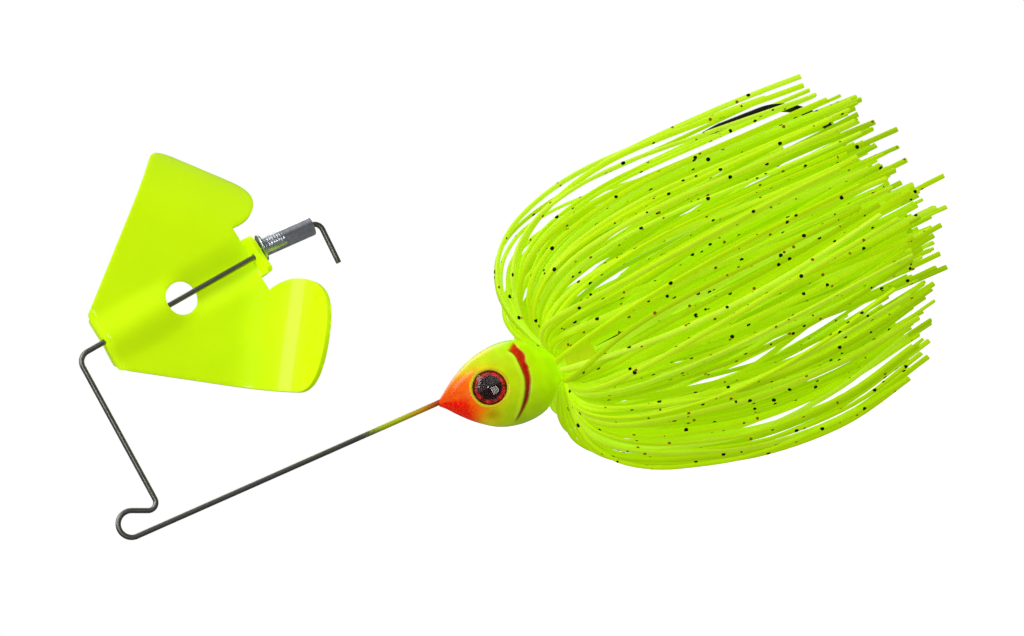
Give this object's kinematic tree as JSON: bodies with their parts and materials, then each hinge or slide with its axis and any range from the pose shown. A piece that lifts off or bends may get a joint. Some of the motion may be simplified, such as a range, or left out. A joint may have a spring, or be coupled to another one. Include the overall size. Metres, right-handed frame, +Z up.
{
  "type": "buzz-blade spinnerbait",
  "caption": "Buzz-blade spinnerbait: bent wire arm with a rolled delta blade spinning ahead of a tube rivet, painted fish-shaped head with domed eyes, black hook and chartreuse silicone skirt.",
  "frame": {"origin": "centre of the line tie's bend, on the plane of the wire", "axes": "+X towards the tail, parallel to the hook shank; +Z up, from the hook shank to the blade's arm; +Y to the lure's right side, across the plane of the wire"},
  "size_m": [0.1502, 0.0478, 0.0929],
  "materials": {
    "wire_steel": "drawn stainless wire, satin",
    "blade_paint": "gloss fluorescent chartreuse paint",
    "rivet_aluminium": "bright, with fine turned rings",
    "hook_nickel": "black nickel, polished",
    "head_paint": "gloss paint fading from orange nose to chartreuse",
    "collar_rubber": "moulded, satin",
    "eye_foil": "printed red foil with a black pupil",
    "eye_lens": "clear resin dome",
    "skirt_silicone": "soft flecked silicone, slightly translucent"
  },
  "bodies": {
    "frame": {"wire_frame": "wire_steel", "head": "head_paint", "hook": "hook_nickel", "skirt_collar": "collar_rubber", "eye_foil_left": "eye_foil", "eye_foil_right": "eye_foil", "eye_lens_left": "eye_lens", "eye_lens_right": "eye_lens", "skirt_bundle_left_1": "skirt_silicone", "skirt_bundle_left_2": "skirt_silicone", "skirt_bundle_left_3": "skirt_silicone", "skirt_bundle_left_4": "skirt_silicone", "skirt_bundle_left_5": "skirt_silicone", "skirt_bundle_left_6": "skirt_silicone", "skirt_bundle_right_1": "skirt_silicone", "skirt_bundle_right_2": "skirt_silicone", "skirt_bundle_right_3": "skirt_silicone", "skirt_bundle_right_4": "skirt_silicone", "skirt_bundle_right_5": "skirt_silicone", "skirt_bundle_right_6": "skirt_silicone"},
    "rivet": {"rivet": "rivet_aluminium"},
    "blade": {"buzz_blade": "blade_paint"}
  },
  "joints": [
    {"name": "rivet_slide", "type": "slide", "parent": "frame", "child": "rivet", "axis": [0.9976, 0, 0.0698], "range_m": [-0.0018, 0]},
    {"name": "blade_spin", "type": "hinge", "parent": "rivet", "child": "blade", "pos_m": [0.0239, 0, 0.02989], "axis": [0.9976, 0, 0.0698], "continuous": true}
  ]
}
